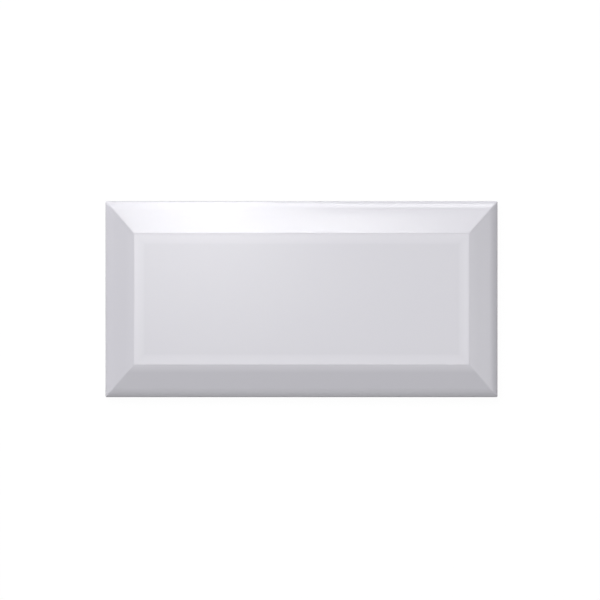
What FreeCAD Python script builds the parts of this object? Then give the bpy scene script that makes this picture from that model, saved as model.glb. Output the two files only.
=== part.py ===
import FreeCAD, Part
import math
import os

# Bevelled subway wall tile: one pressed, glazed and fired ceramic piece.
#
# The tile lies on its back. +Z points out of the glazed face, +X runs along the
# length, +Y across the width, and the origin is the middle of the back.
# All sizes are in millimetres, and angles in degrees.

# Outline and height
LENGTH = 200.0
WIDTH = 100.0
THICKNESS = 8.0
PLAN_CORNER_RADIUS = 0.8

# Front: a flat face, and a bevel that falls from it to each edge
END_BEVEL_WIDTH = 14.5
SIDE_BEVEL_WIDTH = 16.5
EDGE_HEIGHT = 4.5          # where the bevel, carried on, would meet the outline
CREASE_RADIUS = 4.0        # between the face and the bevel

# Edge: a broad shoulder rolls off the bevel, and a tighter arc turns it into the side
SHOULDER_RADIUS = 11.0
SHOULDER_TILT = 35.0       # from the face, where the shoulder hands over to the edge
EDGE_RADIUS = 1.2

# Side: leans in towards the back, so that the tile leaves its die
SIDE_DRAFT = 2.0
BACK_CHAMFER = 0.5

# Back: shallow pockets between ribs, which key the tile to its adhesive
KEY_DEPTH = 0.6
KEY_RIM_WIDTH = 5.0
KEY_RIB_WIDTH = 2.5
KEY_POCKET_SIZE = 15.0     # aimed at: the pockets fill the space inside the rim
KEY_CORNER_RADIUS = 1.5
KEY_WALL_SLOPE = 30.0      # from the vertical


def section_points(half_span, bevel_width):
    """The corners of one half of a section, as (distance from the middle, height)."""
    slope = math.atan2(THICKNESS - EDGE_HEIGHT, bevel_width)
    handover = math.radians(SHOULDER_TILT)
    side_tilt = math.radians(90 + SIDE_DRAFT)

    # The edge's arc is widest on the outline, the bevel is tangent to the shoulder's arc,
    # and the crease's arc is tangent to the bevel and to the face.
    step = SHOULDER_RADIUS - EDGE_RADIUS
    edge_across = half_span - EDGE_RADIUS
    shoulder_across = edge_across - step * math.sin(handover)
    shoulder_height = (EDGE_HEIGHT + (half_span - shoulder_across) * math.tan(slope)
                       - SHOULDER_RADIUS / math.cos(slope))
    edge_height = shoulder_height + step * math.cos(handover)
    crease_across = half_span - bevel_width - CREASE_RADIUS * math.tan(slope / 2)
    crease_height = THICKNESS - CREASE_RADIUS

    def on_edge(tilt):
        return edge_across + EDGE_RADIUS * math.sin(tilt), edge_height + EDGE_RADIUS * math.cos(tilt)

    def on_shoulder(tilt):
        return (shoulder_across + SHOULDER_RADIUS * math.sin(tilt),
                shoulder_height + SHOULDER_RADIUS * math.cos(tilt))

    def on_crease(tilt):
        return (crease_across + CREASE_RADIUS * math.sin(tilt),
                crease_height + CREASE_RADIUS * math.cos(tilt))

    side_top = on_edge(side_tilt)
    side_lean = (side_top[1] - BACK_CHAMFER) * math.tan(math.radians(SIDE_DRAFT))
    side_foot = (side_top[0] - side_lean, BACK_CHAMFER)
    return {
        "back_edge": (side_foot[0] - BACK_CHAMFER, 0.0),
        "side_foot": side_foot,
        "side_top": side_top,
        "edge_middle": on_edge((side_tilt + handover) / 2),
        "shoulder_foot": on_edge(handover),
        "shoulder_middle": on_shoulder((handover + slope) / 2),
        "bevel_foot": on_shoulder(slope),
        "bevel_top": on_crease(slope),
        "crease_middle": on_crease(slope / 2),
        "face_edge": on_crease(0.0),
    }


def section_prism(points, to_space, sweep):
    """A section's outline, mirrored about its middle and swept both ways along sweep."""
    def line(start, end):
        return Part.LineSegment(start, end).toShape()

    def arc(start, middle, end):
        return Part.Arc(start, middle, end).toShape()

    halves = []
    edges = []
    for hand in (1, -1):
        at = {name: to_space(hand * across, height) for name, (across, height) in points.items()}
        edges += [
            line(at["back_edge"], at["side_foot"]),
            line(at["side_foot"], at["side_top"]),
            arc(at["side_top"], at["edge_middle"], at["shoulder_foot"]),
            arc(at["shoulder_foot"], at["shoulder_middle"], at["bevel_foot"]),
            line(at["bevel_foot"], at["bevel_top"]),
            arc(at["bevel_top"], at["crease_middle"], at["face_edge"]),
        ]
        halves.append(at)
    right, left = halves
    edges += [line(right["face_edge"], left["face_edge"]),
              line(right["back_edge"], left["back_edge"])]
    outline = Part.Face(Part.Wire(Part.__sortEdges__(edges)))
    outline.translate(sweep * -1)
    return outline.extrude(sweep * 2)


def plan_prism():
    """The outline seen from the front, with the die's small radius at each corner."""
    block = Part.makeBox(LENGTH, WIDTH, THICKNESS, FreeCAD.Vector(-LENGTH / 2, -WIDTH / 2, 0))
    upright = [edge for edge in block.Edges
               if abs(edge.Vertexes[0].Z - edge.Vertexes[1].Z) > THICKNESS / 2]
    return block.makeFillet(PLAN_CORNER_RADIUS, upright)


def key_pocket(size_x, size_y):
    """One pocket of the back, open at height 0, with sloping walls and round corners."""
    lean = KEY_DEPTH * math.tan(math.radians(KEY_WALL_SLOPE))
    # A wedge stands along Y, so it is made lying down and then turned up.
    pocket = Part.makeWedge(-size_x / 2, 0, -size_y / 2,
                            lean - size_y / 2, lean - size_x / 2,
                            size_x / 2, KEY_DEPTH, size_y / 2,
                            size_y / 2 - lean, size_x / 2 - lean)
    pocket.rotate(FreeCAD.Vector(0, 0, 0), FreeCAD.Vector(1, 0, 0), 90)
    corners = [edge for edge in pocket.Edges
               if abs(edge.Vertexes[0].Z - edge.Vertexes[1].Z) > KEY_DEPTH / 2]
    return pocket.makeFillet(KEY_CORNER_RADIUS, corners)


def pocket_row(back_half):
    """The middles of the pockets along one side of the back, and the size of each."""
    room = 2 * (back_half - KEY_RIM_WIDTH) + KEY_RIB_WIDTH
    count = round(room / (KEY_POCKET_SIZE + KEY_RIB_WIDTH))
    pitch = room / count
    middles = [(number - (count - 1) / 2) * pitch for number in range(count)]
    return middles, pitch - KEY_RIB_WIDTH


def key_pockets(back_half_length, back_half_width):
    """All the pockets of the back."""
    columns, size_x = pocket_row(back_half_length)
    rows, size_y = pocket_row(back_half_width)
    first = key_pocket(size_x, size_y)
    pockets = []
    for x in columns:
        for y in rows:
            pocket = first.copy()
            pocket.translate(FreeCAD.Vector(x, y, 0))
            pockets.append(pocket)
    return Part.makeCompound(pockets)


def subway_tile():
    """The whole tile: where its two sections and its outline meet, less the key pockets."""
    along = section_points(LENGTH / 2, END_BEVEL_WIDTH)
    across = section_points(WIDTH / 2, SIDE_BEVEL_WIDTH)
    # Each section is swept past the other one's ends, and the bevels meet in mitres.
    swept_across = section_prism(along, lambda x, z: FreeCAD.Vector(x, 0, z),
                                 FreeCAD.Vector(0, WIDTH, 0))
    swept_along = section_prism(across, lambda y, z: FreeCAD.Vector(0, y, z),
                                FreeCAD.Vector(LENGTH, 0, 0))
    blank = swept_across.common(swept_along).common(plan_prism())
    return blank.cut(key_pockets(along["back_edge"][0], across["back_edge"][0]))


tile = subway_tile()
os.makedirs("parts", exist_ok=True)
tile.Solids[0].exportStep("parts/subway_tile.step")
box = tile.optimalBoundingBox()
print(f"subway_tile: {len(tile.Solids)} solid, valid {tile.isValid()}, {len(tile.Faces)} faces, "
      f"{box.XLength:.2f} x {box.YLength:.2f} x {box.ZLength:.2f} mm, {tile.Volume / 1000:.2f} cm3")
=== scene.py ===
# %% [markdown]
# # A bevelled subway wall tile
#
# The real object is one piece of pressed clay, glazed white on its front and fired. Its size and its
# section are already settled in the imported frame, and Blender adds only the look. On a plain white tile
# the look is in few things: how softly each edge turns, how the glaze lies over those turns, and how the
# light runs along the bevels. We load the frame first, because every size below is measured against it.

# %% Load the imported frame
import math

import bmesh
import bpy
import numpy as np
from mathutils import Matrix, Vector


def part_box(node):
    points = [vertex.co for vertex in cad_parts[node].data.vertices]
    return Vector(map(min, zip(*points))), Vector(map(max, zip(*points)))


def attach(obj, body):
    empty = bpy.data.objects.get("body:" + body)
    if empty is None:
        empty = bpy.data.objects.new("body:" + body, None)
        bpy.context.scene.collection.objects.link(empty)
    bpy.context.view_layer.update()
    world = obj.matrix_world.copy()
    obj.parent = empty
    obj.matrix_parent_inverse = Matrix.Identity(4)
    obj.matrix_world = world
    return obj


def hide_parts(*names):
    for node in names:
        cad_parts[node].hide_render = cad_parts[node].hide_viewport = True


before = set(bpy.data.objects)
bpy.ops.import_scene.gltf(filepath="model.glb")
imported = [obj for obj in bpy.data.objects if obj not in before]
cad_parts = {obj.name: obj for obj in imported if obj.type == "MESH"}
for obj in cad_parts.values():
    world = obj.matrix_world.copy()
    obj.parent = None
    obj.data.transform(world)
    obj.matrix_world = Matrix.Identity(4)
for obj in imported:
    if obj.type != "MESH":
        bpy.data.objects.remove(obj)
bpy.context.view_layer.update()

low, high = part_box("subway_tile")
half_length = high.x
half_width = high.y
thickness = high.z
print("the tile is", [round(1000 * size, 2) for size in high - low], "mm")

# %% [markdown]
# ## The section of the edge
#
# Cut across, half of the tile is a chain of straight runs and arcs: the back's small chamfer, a side that
# leans in a little so that the tile leaves its die, a tight edge, a broad soft shoulder, the bevel, and the
# crease up to the flat face. One could model a sharp block and bevel its edges afterwards, but then each
# radius depends on the order of the bevels. Here the chain is worked out by its angle of tilt instead, from
# 0 degrees on the face to 90 on the side, so every arc is tangent to its neighbours by itself.

# %% Sizes of the section, in metres and degrees
END_BEVEL_WIDTH = 0.0145
SIDE_BEVEL_WIDTH = 0.0165
EDGE_HEIGHT = 0.0045        # where the bevel, carried on, would meet the outline
CREASE_RADIUS = 0.004
SHOULDER_RADIUS = 0.011
SHOULDER_TILT = 35.0        # where the shoulder hands over to the edge
EDGE_RADIUS = 0.0012
SIDE_DRAFT = 2.0
BACK_CHAMFER = 0.0005
CREASE_STEPS = 6
SHOULDER_STEPS = 12
EDGE_STEPS = 10


def arc(start, radius, tilts):
    """Points along an arc that falls outwards from start, as rows of (inset, height)."""
    tilts = np.radians(tilts)
    insets = start[0] - radius * (np.sin(tilts) - np.sin(tilts[0]))
    heights = start[1] - radius * (np.cos(tilts[0]) - np.cos(tilts))
    return list(zip(insets, heights))[1:]


def section(bevel_width):
    """The skin from the face's edge down to the back, as rows of (inset from the outline, height)."""
    slope = math.atan2(thickness - EDGE_HEIGHT, bevel_width)
    handover = math.radians(SHOULDER_TILT)
    slope_degrees = math.degrees(slope)
    rows = [(bevel_width + CREASE_RADIUS * math.tan(slope / 2), thickness)]
    rows += arc(rows[-1], CREASE_RADIUS, np.linspace(0, slope_degrees, CREASE_STEPS + 1))

    # The bevel ends where the shoulder begins, and both arcs together reach the outline.
    shoulder_reach = SHOULDER_RADIUS * (math.sin(handover) - math.sin(slope))
    edge_reach = EDGE_RADIUS * (1 - math.sin(handover))
    foot_inset = shoulder_reach + edge_reach
    rows.append((foot_inset, EDGE_HEIGHT + foot_inset * math.tan(slope)))
    rows += arc(rows[-1], SHOULDER_RADIUS, np.linspace(slope_degrees, SHOULDER_TILT, SHOULDER_STEPS + 1))
    rows += arc(rows[-1], EDGE_RADIUS, np.linspace(SHOULDER_TILT, 90 + SIDE_DRAFT, EDGE_STEPS + 1))

    side_top = rows[-1]
    side_lean = (side_top[1] - BACK_CHAMFER) * math.tan(math.radians(SIDE_DRAFT))
    rows.append((side_top[0] + side_lean, BACK_CHAMFER))
    rows.append((rows[-1][0] + BACK_CHAMFER, 0.0))
    return np.array(rows)


end_section = section(END_BEVEL_WIDTH)
side_section = section(SIDE_BEVEL_WIDTH)
print("the section has", len(end_section), "rows")

# %% [markdown]
# Both sections fall to the same back, but the ends are steeper than the long sides. A ring of the tile lies
# at one height, so each ring takes its height from the end's section and looks up, at that same height, how
# far in the long side's section has come.

# %% Rings from the face to the back, as half length, half width and height
side_insets = np.interp(end_section[::-1, 1], side_section[::-1, 1], side_section[::-1, 0])[::-1]
rings = [(half_length - end_inset, half_width - side_inset, height)
         for (end_inset, height), side_inset in zip(end_section, side_insets)]
face_half_length, face_half_width, _ = rings[0]
back_half_length, back_half_width, _ = rings[-1]
print("the flat face is", round(2000 * face_half_length, 2), "by", round(2000 * face_half_width, 2), "mm")

# %% [markdown]
# ## Modelling: grow the tile from its face
#
# We start with a plane for the flat face and round its four corners a little. Then its border is extruded
# again and again: each new ring is scaled to its own length and width and lowered to its own height. Since
# every ring has the same rounded corners, the four mitres between the bevels come out slightly soft by
# themselves, as they are under glaze, where a boolean or a bevel would leave knife edges.

# %% The flat face, with its corners rounded
CORNER_RADIUS = 0.0005
CORNER_STEPS = 4


def pick(kind, test):
    """Select only the faces or edges of the piece in edit mode that pass the test."""
    bpy.ops.mesh.select_all(action="DESELECT")
    bpy.ops.mesh.select_mode(type=kind)
    shape = bmesh.from_edit_mesh(bpy.context.edit_object.data)
    parts = shape.faces if kind == "FACE" else shape.edges
    chosen = [part for part in parts if test(part)]
    for part in chosen:
        part.select_set(True)
    bmesh.update_edit_mesh(bpy.context.edit_object.data)
    return len(chosen)


bpy.ops.object.select_all(action="DESELECT")
bpy.ops.mesh.primitive_plane_add(size=2)
tile = bpy.context.object
tile.name = "glazed_tile"
bpy.ops.object.mode_set(mode="EDIT")
bpy.ops.mesh.select_all(action="SELECT")
bpy.ops.transform.resize(value=(face_half_length, face_half_width, 1), center_override=(0, 0, 0))
bpy.ops.transform.translate(value=(0, 0, thickness))
bpy.ops.mesh.bevel(offset=CORNER_RADIUS, segments=CORNER_STEPS, affect="VERTICES")
border_edges = pick("EDGE", lambda edge: True)
print("the border of the face has", border_edges, "edges")

# %% Extrude the border ring by ring, down to the back
for (length_before, width_before, height_before), (length, width, height) in zip(rings, rings[1:]):
    bpy.ops.mesh.extrude_edges_move(TRANSFORM_OT_translate={"value": (0, 0, height - height_before)})
    bpy.ops.transform.resize(value=(length / length_before, width / width_before, 1),
                             center_override=(0, 0, height))
bpy.ops.mesh.edge_face_add()
bpy.ops.mesh.select_all(action="SELECT")
bpy.ops.mesh.normals_make_consistent(inside=False)
blank_faces = pick("FACE", lambda face: True)
print("the closed blank has", blank_faces, "faces")

# %% [markdown]
# ## The back: pockets that key the tile to its adhesive
#
# A pressed wall tile has a grid of shallow pockets on its back. We cut the back into cells with straight
# bisects, inset every cell by half a rib, and inset it once more while sinking it: that gives all pockets
# sloping walls at one stroke. Their corners and mouths are then bevelled, as clay never holds a sharp edge.

# %% Cut the back into a rim and a grid of cells
KEY_RIM_WIDTH = 0.005
KEY_RIB_WIDTH = 0.0025
KEY_POCKET_SIZE = 0.015
NEARLY = 1e-6
FACES_DOWN = -0.99          # a normal's height, where a face counts as part of the flat back


def grid_lines(back_half):
    """The cuts along one side of the back, half a rib outside the first and last pockets."""
    reach = back_half - KEY_RIM_WIDTH + KEY_RIB_WIDTH / 2
    count = round(2 * reach / (KEY_POCKET_SIZE + KEY_RIB_WIDTH))
    return np.linspace(-reach, reach, count + 1)


def on_back(face):
    return face.normal.z < FACES_DOWN and face.calc_center_median().z < NEARLY


column_lines = grid_lines(back_half_length)
row_lines = grid_lines(back_half_width)
for lines, direction in ((column_lines, (1, 0, 0)), (row_lines, (0, 1, 0))):
    for cut in lines:
        pick("FACE", on_back)
        bpy.ops.mesh.bisect(plane_co=[cut * axis for axis in direction], plane_no=direction)


def in_grid(place):
    return abs(place.x) < column_lines[-1] and abs(place.y) < row_lines[-1]


cells = pick("FACE", lambda face: on_back(face) and in_grid(face.calc_center_median()))
print("the back has", cells, "cells")

# %% Sink a pocket into every cell
KEY_DEPTH = 0.0006
KEY_WALL_SLOPE = 30.0       # from the vertical

wall_lean = KEY_DEPTH * math.tan(math.radians(KEY_WALL_SLOPE))
bpy.ops.mesh.inset(thickness=KEY_RIB_WIDTH / 2, use_individual=True)
bpy.ops.mesh.inset(thickness=wall_lean, depth=-KEY_DEPTH, use_individual=True)
print("the pockets are", 1000 * KEY_DEPTH, "mm deep")

# %% Soften the corners and the mouths of the pockets
KEY_CORNER_RADIUS = 0.0015
KEY_CORNER_STEPS = 3
KEY_MOUTH_RADIUS = 0.0002
KEY_MOUTH_STEPS = 2


def middle_of(edge):
    return (edge.verts[0].co + edge.verts[1].co) / 2


def is_pocket_corner(edge):
    bottom, top = sorted(vert.co.z for vert in edge.verts)
    return bottom < NEARLY and abs(top - KEY_DEPTH) < NEARLY and in_grid(middle_of(edge))


def is_pocket_mouth(edge):
    if max(vert.co.z for vert in edge.verts) > NEARLY or not in_grid(middle_of(edge)):
        return False
    return any(face.normal.z > FACES_DOWN for face in edge.link_faces)


corners = pick("EDGE", is_pocket_corner)
bpy.ops.mesh.bevel(offset=KEY_CORNER_RADIUS, segments=KEY_CORNER_STEPS, affect="EDGES")
mouths = pick("EDGE", is_pocket_mouth)
bpy.ops.mesh.bevel(offset=KEY_MOUTH_RADIUS, segments=KEY_MOUTH_STEPS, affect="EDGES")
print("rounded", corners, "pocket corners and", mouths, "edges of their mouths")

# %% [markdown]
# ## Shading: keep the flats flat
#
# The face and the bevels are single large polygons beside very narrow ones. With plain smooth shading their
# normals would be averaged with those of the narrow arcs, and the flats would look swollen. Smoothing by
# angle keeps the real corners, and a Weighted Normal modifier lets the largest polygon decide at each
# vertex, so the flats stay flat and only the arcs turn.

# %% Smooth shading that respects the flats
SMOOTH_BELOW = 32.0         # degrees between two faces

bpy.ops.mesh.select_all(action="SELECT")
bpy.ops.mesh.remove_doubles(threshold=NEARLY)
bpy.ops.mesh.normals_make_consistent(inside=False)
bpy.ops.object.mode_set(mode="OBJECT")
bpy.ops.object.shade_smooth_by_angle(angle=math.radians(SMOOTH_BELOW))
bpy.ops.object.modifier_add(type="WEIGHTED_NORMAL")
tile.modifiers[-1].keep_sharp = True
bpy.ops.object.modifier_apply(modifier=tile.modifiers[-1].name)
print("the tile's mesh has", len(tile.data.polygons), "faces")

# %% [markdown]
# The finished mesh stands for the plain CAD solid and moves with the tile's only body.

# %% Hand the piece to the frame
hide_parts("subway_tile")
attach(tile, "root")
print(tile.name, "stands for subway_tile")

# %% [markdown]
# ## Writing shader maths as expressions
#
# A material here is a small sum: where is this point, how far is it from the crease, how much glaze lies
# on it. Wiring each step by hand hides the sum, so one small class wraps a socket and lets Python's own
# operators add the Math nodes. Any other node comes from its one method, with its settings set first.

# %% A socket that can be calculated with
class Value:
    """An output socket; arithmetic on it adds Math nodes to its material."""

    def __init__(self, socket):
        self.socket = socket

    def node(self, kind, settings=None, inputs=None, output=0):
        """A new node: its settings first, then a value or a link for each named socket."""
        tree = self.socket.id_data
        made = tree.nodes.new(kind)
        for name, setting in (settings or {}).items():
            if name == "stops":
                set_stops(made.color_ramp, setting)
            else:
                setattr(made, name, setting)
        for name, given in (inputs or {}).items():
            if isinstance(given, Value):
                tree.links.new(given.socket, made.inputs[name])
            else:
                made.inputs[name].default_value = given
        return Value(made.outputs[output])

    def maths(self, operation, first, second):
        return self.node("ShaderNodeMath", {"operation": operation}, {0: first, 1: second})

    def __add__(self, other):
        return self.maths("ADD", self, other)

    def __radd__(self, other):
        return self.maths("ADD", other, self)

    def __sub__(self, other):
        return self.maths("SUBTRACT", self, other)

    def __rsub__(self, other):
        return self.maths("SUBTRACT", other, self)

    def __mul__(self, other):
        return self.maths("MULTIPLY", self, other)

    def __rmul__(self, other):
        return self.maths("MULTIPLY", other, self)

    def __neg__(self):
        return self.maths("MULTIPLY", self, -1)

    def __abs__(self):
        return self.maths("ABSOLUTE", self, 0)

    def larger(self, other):
        return self.maths("MAXIMUM", self, other)

    def ramp(self, start, end, shape="SMOOTHSTEP"):
        """0 at start, 1 at end, and held level outside them."""
        return self.node("ShaderNodeMapRange", {"interpolation_type": shape},
                         {"Value": self, "From Min": start, "From Max": end})

    def part(self, axis):
        """The X, Y or Z of a vector."""
        return self.node("ShaderNodeSeparateXYZ", {}, {"Vector": self}, output=axis)

    def noise(self, scale, detail=2.0):
        """Noise at this place, with scale in features to the metre."""
        return self.node("ShaderNodeTexNoise", {}, {"Vector": self, "Scale": scale, "Detail": detail})

    def mix(self, without, with_it):
        """One colour where this is 0, the other where it is 1."""
        # The Mix node has sockets for every kind of data, and these are the ones for colours.
        return self.node("ShaderNodeMix", {"data_type": "RGBA"},
                         {0: self, 6: without, 7: with_it}, output=2)


def set_stops(ramp, stops):
    """Give a colour ramp its stops, each a place and a grey level."""
    while len(ramp.elements) < len(stops):
        ramp.elements.new(1.0)
    for element, (place, level) in zip(ramp.elements, stops):
        element.position = place
        element.color = (level, level, level, 1)


def new_material(name):
    """A new material and its Principled shader."""
    material = bpy.data.materials.new(name)
    material.use_nodes = True
    return material, material.node_tree.nodes["Principled BSDF"]


print("shader maths is ready")

# %% [markdown]
# ## The finish: white glaze over a cream biscuit
#
# The front of the tile is glazed: a glassy cool white, smooth but never quite flat. Along the crease, on
# both sides of it, the colour is painted paler as a painted highlight, and a second painted highlight lies
# on the lower bevel right below the crease. The back and the foot of the sides stay bare biscuit: matt,
# cream and sandy. Two materials would need a seam in the mesh, but glaze and clay are one fired piece. So
# this is one material, and the height of a point, with an uneven line, decides which of the two shows.

# %% Where the glaze lies
GLAZE_LINE = 0.0013
GLAZE_LINE_WAVER = 0.0006
GLAZE_LINE_WAVES = 130.0    # to the metre
GLAZE_LINE_BLUR = 0.00012
NOISE_MIDDLE = 0.5

glaze, shader = new_material("white_glaze")
place = Value(shader.outputs["BSDF"]).node("ShaderNodeTexCoord", output="Object")
x = place.part("X")
y = place.part("Y")
z = place.part("Z")
line = z - GLAZE_LINE_WAVER * (place.noise(GLAZE_LINE_WAVES) - NOISE_MIDDLE)
glazed = line.ramp(GLAZE_LINE - GLAZE_LINE_BLUR, GLAZE_LINE + GLAZE_LINE_BLUR)
print("the glaze stops about", 1000 * GLAZE_LINE, "mm above the back")

# %% Where the painted highlight lies: along the crease, on both sides of it
HIGHLIGHT_ON_FACE = 0.0058
HIGHLIGHT_ON_BEVEL = 0.0045
HIGHLIGHT_ON_TOP = 0.001         # on the top bevel it ends sooner
HIGHLIGHT_STOPS = [(0.0, 0.0), (0.12, 0.5), (0.38, 0.95), (0.55, 1.0), (0.6, 0.4), (1.0, 0.0)]

end_crease = half_length - END_BEVEL_WIDTH
side_crease = half_width - SIDE_BEVEL_WIDTH
from_crease = (abs(x) - end_crease).larger(abs(y) - side_crease)
highlight_place = from_crease.ramp(-HIGHLIGHT_ON_FACE, HIGHLIGHT_ON_BEVEL, "LINEAR")
highlight_ramp = highlight_place.node("ShaderNodeValToRGB", {"stops": HIGHLIGHT_STOPS}, {"Fac": highlight_place})
crease_highlight = highlight_ramp * (1 - (y - side_crease).ramp(0.0, HIGHLIGHT_ON_TOP))
# The width printed is that of the painted highlight along the crease.
print("the glaze thins over", 1000 * (HIGHLIGHT_ON_FACE + HIGHLIGHT_ON_BEVEL), "mm")

# %% A second painted highlight: on the lower bevel, right below the crease
LOWER_HIGHLIGHT_WIDTH = 0.004
LOWER_HIGHLIGHT_STOPS = [(0.0, 0.0), (0.1, 1.0), (1.0, 0.0)]
MITRE_BLUR = 0.02           # of the bevels' widths

below_crease = -y - side_crease
lower_highlight_place = below_crease.ramp(0.0, LOWER_HIGHLIGHT_WIDTH, "LINEAR")
lower_highlight_ramp = lower_highlight_place.node("ShaderNodeValToRGB", {"stops": LOWER_HIGHLIGHT_STOPS}, {"Fac": lower_highlight_place})
past_mitre = (1 / SIDE_BEVEL_WIDTH) * below_crease - (1 / END_BEVEL_WIDTH) * (abs(x) - end_crease)
lower_bevel_highlight = lower_highlight_ramp * past_mitre.ramp(-MITRE_BLUR, MITRE_BLUR)
# The width printed is that of the painted highlight on the lower bevel.
print("the glaze has run off over", 1000 * LOWER_HIGHLIGHT_WIDTH, "mm")

# %% Colours
GLAZE_COLOUR = (0.703, 0.694, 0.745, 1)
CLOUD_COLOUR = (0.693, 0.684, 0.74, 1)
# The next two colours are painted highlights: one along the crease, one on the lower bevel below it.
CREASE_HIGHLIGHT_COLOUR = (0.76, 0.75, 0.805, 1)
LOWER_HIGHLIGHT_COLOUR = (0.803, 0.794, 0.85, 1)
BISCUIT_COLOUR = (0.76, 0.70, 0.60, 1)
BISCUIT_GRAIN_COLOUR = (0.66, 0.59, 0.49, 1)
CLOUDS = 28.0               # to the metre, like the grains
GRAINS = 1900.0
GRAIN_SHOWS = (0.42, 0.68)  # of the noise

clouds = place.noise(CLOUDS)
# Here the painted highlights are laid over the glaze's own colour.
glaze_with_crease_highlight = crease_highlight.mix(clouds.mix(GLAZE_COLOUR, CLOUD_COLOUR), CREASE_HIGHLIGHT_COLOUR)
glaze_and_highlight_colour = lower_bevel_highlight.mix(glaze_with_crease_highlight, LOWER_HIGHLIGHT_COLOUR)
grain = place.noise(GRAINS, detail=3.0)
biscuit_colour = grain.ramp(*GRAIN_SHOWS).mix(BISCUIT_COLOUR, BISCUIT_GRAIN_COLOUR)
colour = glazed.mix(biscuit_colour, glaze_and_highlight_colour)
print("glaze", GLAZE_COLOUR[:3], "over biscuit", BISCUIT_COLOUR[:3])

# %% [markdown]
# The relief has three kinds. The glaze waves a little all over, as glass does that has flowed. Towards the
# top edge, from where it ran down, it lies about a tenth of a millimetre thinner. And where it ends, the
# sand of the biscuit begins. All three are far too fine for the mesh, so they are bump.

# %% Gloss and relief
GLAZE_ROUGHNESS = 0.14
BISCUIT_ROUGHNESS = 0.88
GLAZE_IOR = 1.5
WAVES = 55.0                # to the metre
WAVE_HEIGHT = 0.000006
FALL_HEIGHT = 0.00014
FALL_PLACE = (-0.0086, -0.0013)  # from the top edge
GRAIN_HEIGHT = 0.00006

roughness = BISCUIT_ROUGHNESS - (BISCUIT_ROUGHNESS - GLAZE_ROUGHNESS) * glazed
fall = (y - half_width).ramp(*FALL_PLACE)
glaze_relief = WAVE_HEIGHT * place.noise(WAVES, detail=1.0) - FALL_HEIGHT * fall
relief = glazed * glaze_relief + (1 - glazed) * GRAIN_HEIGHT * grain
bump = relief.node("ShaderNodeBump", {}, {"Strength": 1.0, "Distance": 1.0, "Height": relief})

links = glaze.node_tree.links
links.new(colour.socket, shader.inputs["Base Color"])
links.new(roughness.socket, shader.inputs["Roughness"])
links.new(bump.socket, shader.inputs["Normal"])
shader.inputs["IOR"].default_value = GLAZE_IOR
tile.data.materials.clear()
tile.data.materials.append(glaze)
print("white_glaze has", len(glaze.node_tree.nodes), "nodes")

# %% [markdown]
# ## Floor and surroundings
#
# The tile lies on a plain white floor. A floor lit to pure white would also light the tile too much, so the
# floor is an ordinary grey surface for the light that bounces, and only where the camera or a reflection
# looks at it does it glow up to white. A share of it stays an ordinary surface, which keeps the shadow.
# It is open under the tile and clear from below, so that the back can be looked at too.

# %% The floor, with an opening that the tile covers
FLOOR_SIZE = 3.0
FLOOR_DROP = 0.0001
FLOOR_OVERLAP = 0.0005      # of the tile's back over the edge of the opening

bpy.ops.object.select_all(action="DESELECT")
bpy.ops.mesh.primitive_plane_add(size=FLOOR_SIZE, location=(0, 0, -FLOOR_DROP))
floor = bpy.context.object
floor.name = "floor"
bpy.ops.object.mode_set(mode="EDIT")
bpy.ops.mesh.select_all(action="SELECT")
opening_half = FLOOR_SIZE / 4
bpy.ops.mesh.inset(thickness=FLOOR_SIZE / 2 - opening_half)
bpy.ops.transform.resize(value=((back_half_length - FLOOR_OVERLAP) / opening_half,
                                (back_half_width - FLOOR_OVERLAP) / opening_half, 1),
                         center_override=(0, 0, -FLOOR_DROP))
bpy.ops.mesh.delete(type="FACE")
bpy.ops.object.mode_set(mode="OBJECT")
print("the floor lies", 1000 * FLOOR_DROP, "mm below the tile")

# %% White to look at, grey to the light that bounces
FLOOR_COLOUR = (0.4, 0.4, 0.4, 1)
FLOOR_ROUGHNESS = 0.9
FLOOR_GLOW = 1.13
FLOOR_GLOW_SHARE = 0.85
WHITE = (1, 1, 1, 1)


def seen(value):
    """1 for rays from the camera, a reflection or a clear material, and 0 for light that bounces."""
    camera_ray = value.node("ShaderNodeLightPath", output="Is Camera Ray")
    glossy_ray = value.node("ShaderNodeLightPath", output="Is Glossy Ray")
    clear_ray = value.node("ShaderNodeLightPath", output="Is Transmission Ray")
    return camera_ray.larger(glossy_ray).larger(clear_ray)


paving, paving_shader = new_material("white_floor")
paving_shader.inputs["Base Color"].default_value = FLOOR_COLOUR
paving_shader.inputs["Roughness"].default_value = FLOOR_ROUGHNESS
paving_shader.inputs["Specular IOR Level"].default_value = 0.0
matt = Value(paving_shader.outputs["BSDF"])
glow = matt.node("ShaderNodeEmission", {}, {"Color": WHITE, "Strength": FLOOR_GLOW})
glow_share = FLOOR_GLOW_SHARE * seen(matt)
lit = matt.node("ShaderNodeMixShader", {}, {0: glow_share, 1: matt, 2: glow})
from_below = matt.node("ShaderNodeNewGeometry", output="Backfacing")
clear = matt.node("ShaderNodeBsdfTransparent")
surface = matt.node("ShaderNodeMixShader", {}, {0: from_below, 1: lit, 2: clear})
paving_output = paving.node_tree.nodes["Material Output"]
paving.node_tree.links.new(surface.socket, paving_output.inputs["Surface"])
floor.data.materials.append(paving)
print("white_floor has", len(paving.node_tree.nodes), "nodes")

# %% The surroundings: a dim sky, and a bright space below the floor that lights only the tile's back
SKY_STRENGTH = 0.162
UNDER_STRENGTH = 0.5
HORIZON_BLUR = 0.01
SKY_TO_LOOK_AT = 1.0

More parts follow.
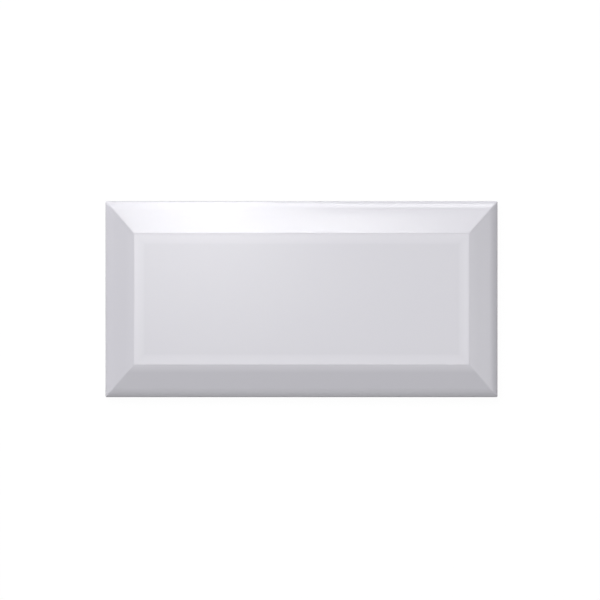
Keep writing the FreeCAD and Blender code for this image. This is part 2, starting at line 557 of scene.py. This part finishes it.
world = bpy.data.worlds.new("studio")
bpy.context.scene.world = world
world.use_nodes = True
background = world.node_tree.nodes["Background"]
background.inputs["Color"].default_value = WHITE
sky = Value(background.outputs["Background"])
heading = sky.node("ShaderNodeTexCoord", output="Generated")
upward = heading.part("Z").ramp(-HORIZON_BLUR, HORIZON_BLUR)
ambient = UNDER_STRENGTH + (SKY_STRENGTH - UNDER_STRENGTH) * upward
strength = ambient + (SKY_TO_LOOK_AT - ambient) * seen(sky)
world.node_tree.links.new(strength.socket, background.inputs["Strength"])
print("the surroundings light the tile at", SKY_STRENGTH)

# %% [markdown]
# ## Light
#
# The light of the photograph can be read off the tile, because every slope mirrors another part of the
# room. Each bevel has an even grey of its own, the top bevel carries a white-hot glint that fades to both
# sides, and a thin line of light runs along the top edge. One could paint all this into the glaze, but then
# it would stay in place when the tile is turned. So it is made with soft boxes, each standing where its
# slope looks.

# %% A soft box that faces the tile
LAMP_DISTANCE = 2.4


def soft_box(name, turn, height, size, power, aside=0.0):
    """A lamp that faces the tile. Turn is from +Y towards +X, and height is from the floor.

    It faces the middle of the tile, or a point aside from it along the tile's length.
    """
    turn, height = math.radians(turn), math.radians(height)
    away = Vector((math.sin(turn) * math.cos(height), math.cos(turn) * math.cos(height), math.sin(height)))
    bpy.ops.object.light_add(type="AREA", location=Vector((aside, 0, 0)) + LAMP_DISTANCE * away)
    lamp = bpy.context.object
    lamp.name = name
    lamp.rotation_euler = away.to_track_quat("Z", "Y").to_euler()
    lamp.data.shape = "RECTANGLE"
    lamp.data.size, lamp.data.size_y = size
    lamp.data.energy = power
    lamp.visible_camera = False
    print(name, "gives", power, "W")


# %% Key and fills: a grey of its own for each bevel
soft_box("key_light", turn=-42, height=35, size=(2.2, 1.5), power=38.0)
soft_box("right_fill", turn=103, height=50, size=(0.65, 1.4), power=4.7)
soft_box("front_fill", turn=180, height=36, size=(0.35, 1.5), power=1.7)

# %% [markdown]
# The key stands at the upper left. It is large and dim, because the face mirrors it when one looks from the
# other side, and a small bright lamp would burn the face out there. The fills lift the right bevel and the
# rolled lower edge. The next lamps stand above the top edge and are there for what the glaze mirrors: a
# tall, narrow strip light for the glint, a window for the line along the edge, a dim blind above it for the
# rest of the bevel, and a short tube for the long tail of the glint to the right.

# %% Strip light and window: the glint on the top bevel and the line along the top edge
soft_box("strip_light", turn=0, height=45, size=(0.03, 2.4), power=11.0, aside=-0.075)
soft_box("window", turn=0, height=39, size=(0.3, 0.8), power=4.3, aside=0.15)
soft_box("window_blind", turn=0, height=59, size=(0.5, 0.6), power=1.5, aside=0.1)
soft_box("tube_light", turn=0, height=66.5, size=(0.03, 0.33), power=0.8, aside=0.035)

# %% [markdown]
# The flat face looks straight up. A dim panel on the ceiling, and the end of the strip light beside it,
# mirror there as the soft brightening in the face's upper left. The last lamp shines up from below the
# floor. It doesn't reach the front, and shows the relief of the back to anyone who looks from below.

# %% Ceiling panels for the flat face, and a lamp for the back
soft_box("ceiling", turn=0, height=90, size=(0.5, 0.25), power=1.17, aside=0.02)
soft_box("ceiling_strip", turn=0, height=87, size=(0.08, 0.2), power=0.56, aside=-0.07)
soft_box("under_light", turn=-60, height=-25, size=(1.0, 1.0), power=50.0)

# %% [markdown]
# ## Camera
#
# The photograph looks straight down on the tile, from so far away that nothing of its sides shows. A long
# lens gives that flat view. The tile fills about two thirds of a square frame.

# %% Camera
LENS = 600.0
SENSOR = 36.0
FRAME_WIDTH = 0.3060        # seen at the height of the tile's edge
VIEW_CENTRE = (-0.00077, -0.00044)
FAR_CLIP = 10.0

bpy.ops.object.camera_add(location=(*VIEW_CENTRE, EDGE_HEIGHT + FRAME_WIDTH * LENS / SENSOR))
camera = bpy.context.object
camera.data.lens = LENS
camera.data.sensor_width = SENSOR
camera.data.clip_end = FAR_CLIP
bpy.context.scene.camera = camera
bpy.context.scene.view_settings.view_transform = "Standard"
print("the camera stands", round(camera.location.z, 3), "m above the floor")
